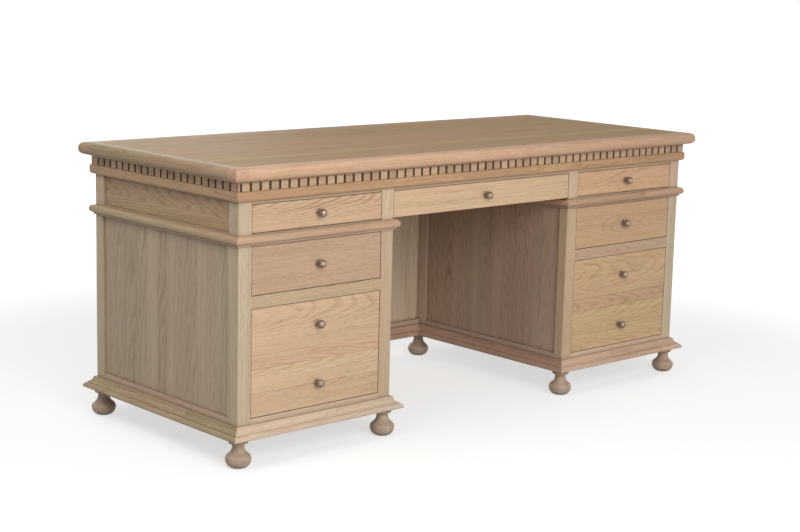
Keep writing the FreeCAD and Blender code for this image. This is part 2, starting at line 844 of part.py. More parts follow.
def pedestal_rails(side, name, bay_x, outer_y, inner_y):
    """The plain rails at the front, the rails that are grooved for a panel, and the mortises for them all."""
    outer_rail_x = mirrored(side, half_length - size.rail_thickness, half_length)
    inner_rail_x = mirrored(side, kneehole, kneehole + size.rail_thickness)
    outer_tenon_x = mirrored(side, half_length - tenon_hidden_face, half_length - size.tenon_inset)
    inner_tenon_x = mirrored(side, kneehole + size.tenon_inset, kneehole + tenon_hidden_face)
    bay_tenon_x = grown(bay_x, size.tenon_length)
    mortises = []
    middle_z = (middle_bottom, middle_top)
    core = (bay_tenon_x, front_tenon_y, shrunk(middle_z, size.tenon_shoulder))
    plain = [tenoned(f"{name}_middle_rail", bay_x, front_rail_y, middle_z, core, mortises)]
    grooved = []
    levels = {
        "waist": ((waist_bottom, waist_top), waist_tenon_z),
        "bottom": ((underside, bottom_level), bottom_tenon_z),
    }
    for level, (z, tenon_z) in levels.items():
        core = (bay_tenon_x, front_tenon_y, tenon_z)
        plain.append(tenoned(f"{name}_front_{level}_rail", bay_x, front_rail_y, z, core, mortises))
        core = (bay_tenon_x, back_tenon_y, tenon_z)
        grooved.append(tenoned(f"{name}_back_{level}_rail", bay_x, back_rail_y, z, core, mortises))
        core = (outer_tenon_x, grown(outer_y, size.tenon_length), tenon_z)
        grooved.append(tenoned(f"{name}_outer_{level}_rail", outer_rail_x, outer_y, z, core, mortises))
        core = (inner_tenon_x, grown(inner_y, size.tenon_length), tenon_z)
        grooved.append(tenoned(f"{name}_inner_{level}_rail", inner_rail_x, inner_y, z, core, mortises))
    return plain, grooved, mortises


def pedestal_inside(side, name, posts, outer_y, inner_y):
    """The boards that the drawers run on, the guides beside them and the cleats below the middle board."""
    post_space = compound(f"{name}_post_space", posts)
    inner_wall = kneehole + panel_hidden_face
    outer_wall = half_length - panel_hidden_face
    middle_x = mirrored(side, inner_wall, outer_wall)
    middle_y = (front_rail_y[1], back_panel_y[0])
    middle_z = (middle_top - size.board_thickness, middle_top)
    middle_board = board(f"{name}_middle_board", middle_x, middle_y, middle_z)
    bottom_x = mirrored(side, kneehole + size.rail_thickness, half_length - size.rail_thickness)
    bottom_y = (front_rail_y[1], back_rail_y[0])
    bottom_z = (bottom_level - size.board_thickness, bottom_level)
    bottom_board = board(f"{name}_bottom_board", bottom_x, bottom_y, bottom_z)
    boards = [housed(piece.Name, piece, [post_space]) for piece in (middle_board, bottom_board)]
    node(f"{name}_pedestal_boards", boards)

    outer_guide_x = mirrored(side, outer_bay, outer_wall)
    inner_guide_x = mirrored(side, inner_wall, inner_bay)
    levels = {
        "bottom_guide": (bottom_level, bottom_level + size.guide_height),
        "cleat": (middle_z[0] - size.guide_height, middle_z[0]),
        "middle_guide": (middle_top, middle_top + size.guide_height),
    }
    runners = []
    for kind, z in levels.items():
        runners.append(board(f"{name}_outer_{kind}", outer_guide_x, outer_y, z))
        runners.append(board(f"{name}_inner_{kind}", inner_guide_x, inner_y, z))
    node(f"{name}_pedestal_runners", runners)


def drawer_stops():
    """Two blocks behind the front of each pedestal drawer, under its bottom."""
    y = (drawer_stop_y, drawer_stop_y + size.stop_depth)
    near_x = (inner_bay + size.stop_inset, inner_bay + size.stop_inset + size.stop_length)
    far_x = (outer_bay - size.stop_inset - size.stop_length, outer_bay - size.stop_inset)
    stops = []
    for side in (-1, 1):
        for level in (bottom_level, middle_top):
            for x in (near_x, far_x):
                z = (level, level + size.stop_height)
                stops.append(board(f"drawer_stop_{len(stops) + 1}", mirrored(side, *x), y, z))
    node("drawer_stops", stops)


# Turned feet

def foot(name, x, y):
    """A flat pad, a bulb whose shoulder turns into a slim neck, a flange and a spigot for the post."""
    body = new_body(name)
    pad_r = size.foot_pad_radius
    bulb_r = size.foot_bulb_radius
    bulb_z = size.foot_bulb_height
    neck_r = size.foot_neck_radius
    neck_z = size.foot_neck_height
    flange_r = size.foot_flange_radius
    flange_z = size.foot_height - size.foot_flange_thickness
    shoulder = size.foot_shoulder_radius
    # An arc that stands upright where it ends follows from its width and its height.
    lower_arc = arc_radius(bulb_r - pad_r, bulb_z)
    upper_arc = arc_radius(flange_r - neck_r, flange_z - neck_z)
    # The shoulder and the hollow above it touch where they share a tangent.
    across = neck_r - bulb_r + shoulder
    rise = neck_z - bulb_z
    hollow = (across * across + rise * rise - shoulder * shoulder) / ((shoulder - across) * 2)
    touch = shoulder / (shoulder + hollow)
    touch_r = bulb_r - shoulder + (across + hollow) * touch
    touch_z = bulb_z + rise * touch
    spigot_top = size.foot_height + size.foot_spigot_length
    profile = [
        (ZERO, ZERO),
        (pad_r, ZERO),
        (bulb_r, bulb_z, lower_arc, 1),
        (touch_r, touch_z, shoulder, 1),
        (neck_r, neck_z, hollow, -1),
        (flange_r, flange_z, upper_arc, -1),
        (flange_r, size.foot_height),
        (size.foot_spigot_radius, size.foot_height),
        (size.foot_spigot_radius, spigot_top),
        (ZERO, spigot_top),
    ]
    turned(body, outline(body, f"{name}_profile", "XZ_Plane", [profile]))
    place(body, x, y, ZERO)
    return body


def arc_radius(width, height):
    return (width * width + height * height) / (width * 2)


def bun_feet():
    places = foot_places(-1) + foot_places(1)
    node("bun_feet", [foot(f"foot_{number}", x, y) for number, (x, y) in enumerate(places, 1)])


# Drawers

def drawer_side(name, x, z, height):
    """A side whose front end carries the tails of half-blind dovetails."""
    body = new_body(name)
    tail = size.dovetail_length
    length = tail + drawer_back - front - size.drawer_front_thickness
    blank = outline(body, f"{name}_blank", "YZ_Plane", [rectangle((tail, length), (ZERO, height))])
    pad(body, blank, size.drawer_side_thickness)
    count = whole(height / size.dovetail_pitch)
    pitch = height / count
    middle = pitch / 2
    end_half = pitch * TAIL_END_SHARE
    root_half = pitch * TAIL_ROOT_SHARE
    tail_corners = [
        (ZERO, middle - end_half),
        (tail, middle - root_half),
        (tail, middle + root_half),
        (ZERO, middle + end_half),
    ]
    sketch = outline(body, f"{name}_tail", "YZ_Plane", [tail_corners])
    tail_pad = pad(body, sketch, size.drawer_side_thickness)
    repeated(body, tail_pad, sketch, "V_Axis", pitch, count)
    place(body, x, front + size.drawer_front_thickness - tail, z)
    return body


def drawer_front(name, x, z):
    """A flat front whose face has eased edges."""
    body = new_body(name)
    face = outline(body, f"{name}_face", "XZ_Plane", [rectangle((ZERO, x[1] - x[0]), (ZERO, z[1] - z[0]))])
    slab = pad(body, face, size.drawer_front_thickness)
    rounded(body, slab, size.drawer_front_round, lambda middle: same(middle.y, -size.drawer_front_thickness))
    place(body, x[0], front + size.drawer_front_thickness, z[0])
    return body


def knob(name, x, z):
    """A ball on a stem and a rose, with a spigot for the drawer front."""
    body = new_body(name)
    seat = size.knob_spigot_length
    rose_r = size.knob_rose_radius
    rose_top = seat + size.knob_rose_thickness
    edge = size.knob_rose_round
    stem_r = size.knob_stem_radius
    ball = size.knob_radius
    middle = seat + size.knob_reach
    ball_start = middle - root(ball * ball - stem_r * stem_r)
    profile = [
        (ZERO, ZERO),
        (size.knob_spigot_radius, ZERO),
        (size.knob_spigot_radius, seat),
        (rose_r, seat),
        (rose_r, rose_top - edge),
        (rose_r - edge, rose_top, edge, 1),
        (stem_r, rose_top),
        (stem_r, ball_start),
        (ball, middle, ball, 1),
        (ZERO, middle + ball, ball, 1),
    ]
    turned(body, outline(body, f"{name}_profile", "XY_Plane", [profile]))
    place(body, x, front + seat, z, UPRIGHT, 180)
    return body


def drawer(name, bay, opening, run_level, headroom, knob_levels):
    """A drawer that closes flush in its opening and runs on its sides' lower edges.

    The headroom is what its sides leave free below the top of the opening.
    """
    side_height = opening[1] - headroom - run_level
    x = shrunk(bay, size.drawer_gap)
    z = shrunk(opening, size.drawer_gap)
    side_z = run_level + size.drawer_run_gap
    side_x = {"left": x[0], "right": x[1] - size.drawer_side_thickness}
    sides = [drawer_side(f"{name}_{hand}_side", low, side_z, side_height) for hand, low in side_x.items()]

    inside = shrunk(x, size.drawer_side_thickness)
    bottom_z = side_z + size.drawer_bottom_rise
    bottom_y = (front + size.drawer_front_thickness - size.drawer_groove_depth, drawer_back)
    bottom_top = bottom_z + size.drawer_bottom_thickness
    bottom_x = grown(inside, size.drawer_groove_depth)
    bottom = board(f"{name}_bottom", bottom_x, bottom_y, (bottom_z, bottom_top))
    rear_face = drawer_back - size.drawer_back_inset
    rear_y = (rear_face - size.drawer_back_thickness, rear_face)
    rear_z = (bottom_top, side_z + side_height)
    rear = board(f"{name}_rear", grown(inside, size.drawer_back_housing), rear_y, rear_z)

    middle_x = (x[0] + x[1]) / 2
    knobs = []
    bores = []
    for number, level in enumerate(knob_levels(z), 1):
        knobs.append(knob(f"{name}_knob_{number}", middle_x, level))
        radius = size.knob_spigot_radius + size.bore_clearance
        seat = front + size.knob_spigot_length
        depth = size.knob_spigot_length
        bores.append(bore(f"{name}_knob_bore_{number}", middle_x, seat, level, radius, depth, ACROSS, 90))
    slab = drawer_front(f"{name}_slab", x, z)
    tails = compound(f"{name}_tails", sides)
    bottom_and_knobs = compound(f"{name}_bottom_and_knobs", [bottom] + bores)
    bottom_and_rear = compound(f"{name}_bottom_and_rear", [bottom, rear])

    node(f"{name}_drawer_front", [housed(f"{name}_front", slab, [tails, bottom_and_knobs])])
    node(f"{name}_drawer_box", [housed(side.Name, side, [bottom_and_rear]) for side in sides] + [rear])
    node(f"{name}_drawer_bottom", [bottom])
    node(f"{name}_knob", knobs)


def middle_knob(z):
    return [(z[0] + z[1]) / 2]


def file_knobs(z):
    """Two knobs, one below the top edge of the drawer front and one above its bottom edge."""
    return list(shrunk(z, size.file_knob_inset))


def drawers():
    frieze = (waist_top, frieze_top)
    for side, name in ((-1, "left"), (1, "right")):
        bay = mirrored(side, inner_bay, outer_bay)
        drawer(f"{name}_frieze", bay, frieze, upper_board_top, size.frieze_side_headroom, middle_knob)
        upper = (middle_top, waist_bottom)
        drawer(f"{name}_upper", bay, upper, middle_top, size.upper_side_headroom, middle_knob)
        deep = (bottom_level, middle_bottom)
        drawer(f"{name}_file", bay, deep, bottom_level, size.file_side_headroom, file_knobs)
    centre_bay = (-kneehole, kneehole)
    drawer("centre_frieze", centre_bay, frieze, centre_runner_z[1], size.frieze_side_headroom, middle_knob)


def pedestals():
    modesty_pieces = modesty()
    pedestal(-1, "left", modesty_pieces)
    pedestal(1, "right", modesty_pieces)


def check_document():
    for feature in doc.Objects:
        if "Invalid" in feature.State or "Error" in feature.State:
            raise RuntimeError(f"{feature.Label} did not build: {feature.State}")
    for part in nodes:
        if part.Shape.isNull() or not part.Shape.isValid():
            raise RuntimeError(f"{part.Label} has no valid shape")


desk_top()
glue_blocks()
cornice_fillet()
dentil_course()
cornice_band()
upper_case()
waist_moulding()
base_moulding()
pedestals()
drawer_stops()
bun_feet()
drawers()

doc.recompute()
check_document()
os.makedirs("parts", exist_ok=True)
for part in nodes:
    part.Shape.exportStep(f"parts/{part.Label}.step")
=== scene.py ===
import json
import math
import random

import bpy
from mathutils import Matrix, Vector


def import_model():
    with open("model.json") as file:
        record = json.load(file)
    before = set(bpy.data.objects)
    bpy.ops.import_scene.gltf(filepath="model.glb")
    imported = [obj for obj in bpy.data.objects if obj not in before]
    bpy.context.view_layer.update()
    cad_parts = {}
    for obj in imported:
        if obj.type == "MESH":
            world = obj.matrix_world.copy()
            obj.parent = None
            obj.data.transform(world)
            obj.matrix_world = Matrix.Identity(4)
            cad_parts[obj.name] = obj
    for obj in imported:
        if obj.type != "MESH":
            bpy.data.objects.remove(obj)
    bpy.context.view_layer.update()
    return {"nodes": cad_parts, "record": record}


# Looks of the oak desk: grain that follows every board, antique knobs, a plain studio and the photograph's
# view. All sizes are in metres.

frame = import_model()


# Boards: each separate solid of a node is a board with its own grain

# Panels whose grain stands upright, fronts that are glued up from planks, and strips that are kerfed into
# blocks. All other grain runs along the board's longest side.
UPRIGHT_PANELS = ("left_pedestal_panels", "right_pedestal_panels", "modesty_panel")
GLUED_FRONTS = ("left_file_drawer_front", "right_file_drawer_front")
KERFED_STRIPS = ("dentil_strip_front", "dentil_strip_back", "dentil_strips_ends")

UPRIGHT_AXIS = 2
BOARD_ATTRIBUTES = ("grain_place", "grain_pith", "board_tint", "board_marks")

# Vertices that are nearer than this are one place.
WELD_STEP = 0.00001

# A board is cut from anywhere in the first so many metres of the log.
SHIFT_REACH = 20

# The marks of a kerf's floor and cheeks, which set how much painted shade each takes, and how squarely a
# cheek faces along its strip.
FLOOR_MARK, CHEEK_MARK = 1.0, 0.7
CHEEK_SQUARENESS = 0.9

# How much one step of shade, warmth and gold changes the wood's red, green and blue.
SHADE_STEP = 0.06
WARMTH_STEPS = (0.02, -0.025, 0.01)
GOLD_STEPS = (0.0, -0.03, -0.1)


class Cut:
    """Where a board was cut from the log, and how its colour differs from its neighbours'.

    The pith lies beside the board's middle by side and below its face by depth, and drifts by slope along
    it. Warmth goes from straw (-1) to pink (1), shade from dark (-1) to light (1), and gold from grey (-1)
    to golden brown (1). Figure is how strongly the rings show, where 1 is the usual.
    """

    def __init__(self, side, depth, slope, warmth, shade, gold, figure):
        self.side = side
        self.depth = depth
        self.slope = slope
        self.warmth = warmth
        self.shade = shade
        self.gold = gold
        self.figure = figure

    def tint(self):
        """What the wood's red, green and blue are multiplied by."""
        value = 1 + SHADE_STEP * self.shade
        steps = zip(WARMTH_STEPS, GOLD_STEPS)
        return [value * (1 + warmth * self.warmth + gold * self.gold) for warmth, gold in steps]


def random_cut(draw):
    return Cut(
        side=draw.uniform(-0.12, 0.12),
        depth=draw.uniform(0.03, 0.14),
        slope=draw.uniform(-0.05, 0.05),
        warmth=draw.uniform(-0.8, 0.8),
        shade=draw.uniform(-0.8, 0.8),
        gold=draw.uniform(-0.2, 0.8),
        figure=draw.uniform(0.6, 1.3),
    )


# Boards whose figure or colour stands out in the photograph, each found by its node and a place inside it. A
# cut gives side, depth, slope, warmth, shade, gold and figure. The rails under the cornice band, and in part
# the boards inside the kneehole, are darkened as painted shade.
STRIKING_BOARDS = [
    ("left_frieze_drawer_front", (-0.600, -0.325, 0.640), Cut(0.000, 0.045, 0.110, 0.0, -0.4, 0.4, 2.1)),
    ("left_upper_drawer_front", (-0.600, -0.325, 0.480), Cut(0.110, 0.060, 0.020, 0.5, -3.4, 0.2, 0.7)),
    ("left_file_drawer_front", (-0.600, -0.325, 0.200), Cut(0.000, 0.040, 0.080, -0.2, -0.1, 0.3, 1.2)),
    ("centre_frieze_drawer_front", (-0.100, -0.325, 0.640), Cut(0.090, 0.090, 0.010, 0.1, -1.0, 0.5, 0.5)),
    ("right_frieze_drawer_front", (0.550, -0.325, 0.640), Cut(0.050, 0.060, 0.060, 0.3, -1.2, 1.7, 0.7)),
    ("right_upper_drawer_front", (0.550, -0.325, 0.480), Cut(0.040, 0.050, -0.080, 0.6, -3.4, 1.9, 0.9)),
    ("right_file_drawer_front", (0.550, -0.325, 0.200), Cut(0.000, 0.060, 0.070, -0.4, -1.4, 1.6, 1.0)),
    ("left_pedestal_rails", (-0.600, -0.310, 0.430), Cut(0.004, 0.020, 0.080, 0.3, -0.2, 1.4, 3.6)),
    ("right_pedestal_rails", (0.600, -0.310, 0.430), Cut(0.006, 0.018, -0.090, 0.3, -1.8, 1.5, 1.6)),
    ("left_pedestal_posts", (-0.850, -0.320, 0.350), Cut(0.060, 0.070, 0.010, -0.8, -0.9, 0.0, 1.6)),
    ("left_pedestal_posts", (-0.360, -0.320, 0.350), Cut(0.050, 0.090, 0.010, 0.2, -1.2, 0.8, 1.0)),
    ("right_pedestal_posts", (0.360, -0.320, 0.350), Cut(0.070, 0.080, 0.020, -0.1, -0.9, 1.2, 1.0)),
    ("right_pedestal_posts", (0.850, -0.320, 0.350), Cut(0.080, 0.060, 0.010, -0.6, 1.0, -0.3, 1.0)),
    ("right_pedestal_posts", (0.360, 0.300, 0.350), Cut(0.080, 0.060, 0.010, 1.0, -2.0, -0.8, 1.0)),
    ("upper_case_posts", (-0.850, -0.320, 0.650), Cut(0.080, 0.080, 0.010, -0.8, 0.3, 0.0, 1.0)),
    # Painted shade: these rails under the cornice band are darkened where the band's shadow falls.
    ("upper_case_rails", (-0.600, -0.320, 0.700), Cut(0.080, 0.080, 0.010, 0.4, -2.4, 1.3, 1.0)),
    ("upper_case_rails", (0.000, -0.320, 0.700), Cut(0.080, 0.080, 0.010, 0.4, -2.0, 1.4, 1.0)),
    ("upper_case_rails", (0.600, -0.320, 0.700), Cut(0.080, 0.080, 0.010, 0.4, -1.4, 1.4, 1.0)),
    ("upper_case_panels", (-0.852, 0.000, 0.640), Cut(-0.010, 0.040, 0.080, 0.6, -1.2, 2.4, 1.8)),
    # Painted shade, in part: boards inside the kneehole are darkened where shade falls under the desk.
    ("right_pedestal_panels", (0.360, 0.000, 0.350), Cut(0.010, 0.030, 0.080, 1.2, -2.0, -0.4, 1.5)),
    ("right_pedestal_rails", (0.360, 0.000, 0.100), Cut(0.080, 0.060, 0.010, 1.0, -2.4, -0.6, 1.0)),
    ("left_pedestal_panels", (-0.860, 0.000, 0.350), Cut(0.010, 0.050, 0.050, -0.5, -1.2, 0.8, 0.6)),
    ("modesty_rails", (0.000, 0.315, 0.100), Cut(0.080, 0.080, 0.010, 1.0, -2.6, -0.6, 1.0)),
    ("modesty_panel", (0.000, 0.320, 0.350), Cut(0.020, 0.040, 0.080, -1.3, 1.6, -1.0, 1.4)),
    ("base_moulding", (-0.600, -0.345, 0.080), Cut(0.060, 0.080, 0.020, -1.4, 3.8, -3.0, 1.0)),
    ("base_moulding", (-0.880, 0.000, 0.080), Cut(0.060, 0.080, 0.020, -2.0, -2.8, -0.2, 1.0)),
    ("base_moulding", (0.600, -0.345, 0.080), Cut(0.060, 0.080, 0.020, -0.2, 1.0, -1.2, 1.0)),
    ("base_moulding", (0.330, 0.000, 0.080), Cut(0.060, 0.080, 0.020, 1.0, -2.6, -1.8, 1.0)),
    ("base_moulding", (0.000, 0.290, 0.080), Cut(0.060, 0.080, 0.020, 0.8, -1.8, -1.6, 1.0)),
    ("waist_moulding", (-0.870, 0.000, 0.590), Cut(0.060, 0.080, 0.020, -1.8, -1.2, -0.2, 1.0)),
    ("waist_moulding", (0.600, -0.338, 0.590), Cut(0.060, 0.080, 0.020, 0.4, -1.6, 0.4, 1.0)),
    ("cornice_fillet", (0.000, -0.335, 0.737), Cut(0.060, 0.080, 0.020, 0.2, -2.6, 1.2, 1.0)),
    ("cornice_band", (-0.870, 0.000, 0.705), Cut(0.060, 0.080, 0.020, 0.2, -1.8, 1.5, 1.2)),
    ("cornice_band", (0.000, -0.337, 0.705), Cut(0.060, 0.080, 0.020, 0.5, -1.4, 2.1, 1.0)),
    ("top_end_lippings", (-0.880, 0.000, 0.755), Cut(0.080, 0.070, 0.020, -2.4, -3.8, -0.2, 1.0)),
    ("top_back_lipping", (0.000, 0.350, 0.755), Cut(0.070, 0.090, 0.010, -1.6, -2.4, -0.3, 1.0)),
    ("top_front_lipping", (0.000, -0.350, 0.755), Cut(0.070, 0.090, 0.010, 0.2, 0.2, 0.2, 1.0)),
]


def inside(place, low, high):
    return all(low[axis] <= place[axis] <= high[axis] for axis in range(3))


def cut_for(name, low, high, draw):
    for owner, place, cut in STRIKING_BOARDS:
        if owner == name and inside(place, low, high):
            return cut
    return random_cut(draw)


def boards_of(mesh):
    """Lists each board's faces. Faces are neighbours if they alone share an edge of the same two places."""
    places = {}
    place_of = []
    for vertex in mesh.vertices:
        key = tuple(round(value / WELD_STEP) for value in vertex.co)
        place_of.append(places.setdefault(key, len(places)))
    sharing = {}
    for face in mesh.polygons:
        for start, end in face.edge_keys:
            edge = frozenset((place_of[start], place_of[end]))
            if len(edge) == 2:
                sharing.setdefault(edge, []).append(face.index)
    group = list(range(len(mesh.polygons)))

    def leader(index):
        while group[index] != index:
            group[index] = group[group[index]]
            index = group[index]
        return index

    for faces in sharing.values():
        if len(faces) == 2:
            group[leader(faces[0])] = leader(faces[1])
    boards = {}
    for face in mesh.polygons:
        boards.setdefault(leader(face.index), []).append(face)
    return list(boards.values())


def levels(values):
    """The different values in a list, in order, to the nearest weld step."""
    return [step * WELD_STEP for step in sorted({round(value / WELD_STEP) for value in values})]


def kerf_marks(mesh, faces, along, above_floor):
    """Marks the vertices of a strip's kerfs for painted shade, given how to find a place's height above the
    kerfs' floors.
    """
    marks = {}
    for face in faces:
        on_floor = all(abs(above_floor(mesh.vertices[index].co)) < WELD_STEP for index in face.vertices)
        if on_floor or abs(face.normal[along]) > CHEEK_SQUARENESS:
            marks.update((index, FLOOR_MARK if on_floor else CHEEK_MARK) for index in face.vertices)
    return marks


def write_grain(name, mesh):
    """Gives every vertex its place in its own board and the pith's place beside it, and every board its tint.

    The marks are the insides of kerfs, the height of glued fronts and the strength of the board's figure.
    """
    for attribute in BOARD_ATTRIBUTES:
        mesh.attributes.new(attribute, "FLOAT_VECTOR", "POINT")
    place, pith, tint, marks = [mesh.attributes[attribute].data for attribute in BOARD_ATTRIBUTES]
    for number, faces in enumerate(boards_of(mesh)):
        indices = {index for face in faces for index in face.vertices}
        points = [mesh.vertices[index].co for index in indices]
        low = [min(point[axis] for point in points) for axis in range(3)]
        high = [max(point[axis] for point in points) for axis in range(3)]
        spans = [high[axis] - low[axis] for axis in range(3)]
        order = sorted(range(3), key=lambda axis: -spans[axis])
        along = UPRIGHT_AXIS if name in UPRIGHT_PANELS else order[0]
        order.remove(along)
        across, through = order
        draw = random.Random(f"{name}_{number}")
        cut = cut_for(name, low, high, draw)
        shift = draw.uniform(0, SHIFT_REACH)
        height = spans[across] if name in GLUED_FRONTS else 0.0
        start = low[along]
        kerfs = {}
        if name in KERFED_STRIPS:
            runs = levels(point[along] - low[along] for point in points)
            start += (runs[1] + runs[2]) / 2
            floor_level = low[through] + levels(point[through] - low[through] for point in points)[1]
            kerfs = kerf_marks(mesh, faces, along, lambda point: point[through] - floor_level)
        for index in indices:
            point = mesh.vertices[index].co
            run = point[along] - start
            offset = point[across] - (low[across] + high[across]) / 2
            place[index].vector = (run, offset, point[through] - low[through])
            pith[index].vector = (-shift, cut.side, -cut.depth - run * cut.slope)
            tint[index].vector = cut.tint()
            marks[index].vector = (kerfs.get(index, 0.0), height, cut.figure)


# Shader nodes

# How unevenly long the cells along a line are, from 0 to 1.
UNEVENNESS = 0.6


class Shader:
    """Adds nodes to a material or world. An input takes a value or another node's output."""

    def __init__(self, owner):
        owner.use_nodes = True
        self.tree = owner.node_tree
        self.tree.nodes.clear()

    def node(self, kind, inputs=(), **settings):
        node = self.tree.nodes.new(kind)
        for key, value in settings.items():
            setattr(node, key, value)
        for key, value in dict(inputs).items():
            if isinstance(value, bpy.types.NodeSocket):
                self.tree.links.new(value, node.inputs[key])
            else:
                node.inputs[key].default_value = value
        return node

    def maths(self, operation, *values, clamp=False):
        node = self.node("ShaderNodeMath", enumerate(values), operation=operation, use_clamp=clamp)
        return node.outputs[0]

    def vector_maths(self, operation, *values):
        return self.node("ShaderNodeVectorMath", enumerate(values), operation=operation).outputs[0]

    def attribute(self, name):
        return self.node("ShaderNodeAttribute", attribute_name=name).outputs["Vector"]

    def split(self, vector):
        return self.node("ShaderNodeSeparateXYZ", {"Vector": vector}).outputs

    def join(self, x, y, z):
        return self.node("ShaderNodeCombineXYZ", {"X": x, "Y": y, "Z": z}).outputs[0]

    def noise(self, vector, scales, detail=2.0, roughness=0.5):
        """Noise with so many features in a metre along each axis, about 0.5 on average."""
        stretched = self.vector_maths("MULTIPLY", vector, scales)
        inputs = {"Vector": stretched, "Scale": 1.0, "Detail": detail, "Roughness": roughness}
        return self.node("ShaderNodeTexNoise", inputs).outputs

    def cells(self, position, length):
        """Numbers that stay the same for about a length along the position."""
        inputs = {"W": self.maths("DIVIDE", position, length), "Scale": 1.0, "Randomness": UNEVENNESS}
        return self.node("ShaderNodeTexVoronoi", inputs, voronoi_dimensions="1D").outputs["W"]

    def chance(self, vector):
        return self.node("ShaderNodeTexWhiteNoise", {"Vector": vector}).outputs["Color"]

    def centred(self, vector):
        """Moves noise from about 0.5 to about 0."""
        return self.vector_maths("SUBTRACT", vector, (0.5, 0.5, 0.5))

    def remap(self, value, low, high, new_low=0.0, new_high=1.0, smooth=False):
        inputs = {0: value, 1: low, 2: high, 3: new_low, 4: new_high}
        kind = "SMOOTHSTEP" if smooth else "LINEAR"
        return self.node("ShaderNodeMapRange", inputs, interpolation_type=kind).outputs[0]

    def mix(self, factor, first, second, blend="MIX"):
        inputs = {0: factor, 6: first, 7: second}
        return self.node("ShaderNodeMix", inputs, data_type="RGBA", blend_type=blend).outputs[2]

    def surface(self, base, rough, height, strength, depth, shine):
        """A bumpy surface. Shine gives the inputs that metal or lacquer adds."""
        bump = self.node("ShaderNodeBump", {"Height": height, "Strength": strength, "Distance": depth})
        inputs = {"Base Color": base, "Roughness": rough, "Normal": bump.outputs[0]} | shine
        skin = self.node("ShaderNodeBsdfPrincipled", inputs)
        self.node("ShaderNodeOutputMaterial", {"Surface": skin.outputs[0]})

    def background_rays(self):
        """1 for the rays that show the background: the camera's, and those that metal or glass sends on."""
        rays = self.node("ShaderNodeLightPath").outputs
        direct = self.maths("MAXIMUM", rays["Is Camera Ray"], rays["Is Glossy Ray"])
        return self.maths("MAXIMUM", direct, rays["Is Transmission Ray"])


def colour(red, green, blue):
    """A colour as it is picked on screen, from 0 to 255, in the linear values that shaders take."""
    linear = []
    for value in (red, green, blue):
        share = value / 255
        linear.append(share / 12.92 if share <= 0.04045 else ((share + 0.055) / 1.055) ** 2.4)
    return (*linear, 1.0)


# Oak

RING_WIDTH = 0.005
DENTIL_PITCH = 0.03045

PINK = (1.035, 0.965, 0.975, 1.0)
STRAW = (0.975, 1.015, 0.945, 1.0)
PORE = colour(120, 86, 60)
SEAM = colour(130, 94, 66)

# The planks of a glued front, from the bottom one up: where they meet as shares of the front's height, half
# a seam's width, their middles, and how pink and how light each plank is.
FRONT_SEAMS = (0.22, 0.44, 0.57)
FRONT_SEAM_SHARE = 0.0016
FRONT_CENTRES = (0.11, 0.33, 0.505, 0.785)
FRONT_NUMBERS = (0.0, 1.0, 2.0, 3.0)
FRONT_WARMTHS = (-0.3, -1.2, 2.0, 0.6)
FRONT_SHADES = (-0.4, 1.2, -1.5, 0.2)

# How many features of each kind a metre of wood has along the board, across it and through it.
BENDS = (2.3, 6.0, 6.0)
RIPPLES = (14.0, 30.0, 30.0)
CLOUDS = (3.1, 13.0, 13.0)
STREAKS = (1.6, 60.0, 60.0)
FIBRES = (9.0, 330.0, 330.0)
DASHES = (34.0, 250.0, 250.0)
PORES = (55.0, 1500.0, 1500.0)
FLECKS = (50.0, 240.0, 90.0)

# How far bends and ripples push the pith, how far apart in the log the pieces of one board come from, and how
# much the joints in a strip shift with the strip's own place in the log.
BEND_REACH = (0.0, 0.022, 0.028)
RIPPLE_REACH = (0.0, 0.004, 0.005)
PIECE_REACH = (9.0, 0.1, 0.05)
JOINT_REACH = 9.0

# Rings: how fast good and bad years follow each other, the noise in the worst year and the best, how strongly
# the worst one shows, and the share of a ring that is open early wood.
YEARS = (0.42, 1.0, 1.0)
YEAR_NOISE = (0.3, 0.7)
WORST_YEAR = 0.1
EARLY_WOOD = 0.6

# A ring's slant is 1 where it lies in the face: the slants at which it shows least and most, and the least.
SLANTS = (0.5, 0.92)
UPRIGHT_RING = 0.2

# The noise at which pores and flecks begin and are full, and how strong the pores are between the rings.
PORE_NOISE = (0.54, 0.7)
FLECK_NOISE = (0.6, 0.72)
PORES_BETWEEN = 0.3

# How far each kind of grain takes the wood towards its dark colour, or towards a colour of its own.
PLAIN_DARKNESS = 0.12
GRAIN_DARKNESS = 0.9
PORE_STRENGTH = 0.45
FLECK_STRENGTH = 0.2
SEAM_STRENGTH = 0.6

# How strongly pieces, clouds and streaks are tinted, and the warmth at which wood is fully pink.
PIECE_TINT = 2.6
CLOUD_WARMTH, CLOUD_SHADE = 2.6, 2.4
STREAK_WARMTH = 2.6
FULL_WARMTH = 1.5

# How dark painted shade leaves a kerf, against the face of its strip.
KERF_SHADE = 0.48

# How far painted shade reaches out of corners and joints, how dark it leaves them, how open a corner with
# full painted shade and one with none are, and how many rays measure that.
CORNER_SHADE_REACH = 0.012
CORNER_SHADE_DARKNESS = 0.6
CORNER_SHADE_OPENNESS = (0.4, 0.95)
CORNER_SHADE_RAYS = 8

# How much lines and fibres roughen the wood, and how they and the pores stand in its bump.
LINE_ROUGHNESS, FIBRE_ROUGHNESS = 0.1, 0.25
LINE_HEIGHT, FIBRE_HEIGHT, PORE_HEIGHT = -0.35, 0.4, -1.0
OAK_BUMP_STRENGTH, OAK_BUMP_DEPTH = 0.35, 0.0003


class Oak:
    """One kind of oak surface: its colours and how strongly its figure shows.

    Plank is how wide the planks of a glued-up board are, and segment how long the pieces of a jointed strip.
    """

    # The flag after spread says whether painted shade darkens the surface's corners and joints.
    def __init__(
        self, light, dark, figure, plank=None, segment=None, roughness=0.5, gloss=0.3, spread=0.06, corner_shaded=True
    ):
        self.light = light
        self.dark = dark
        self.figure = figure
        self.plank = plank
        self.segment = segment
        self.roughness = roughness
        self.gloss = gloss
        self.spread = spread
        self.corner_shaded = corner_shaded


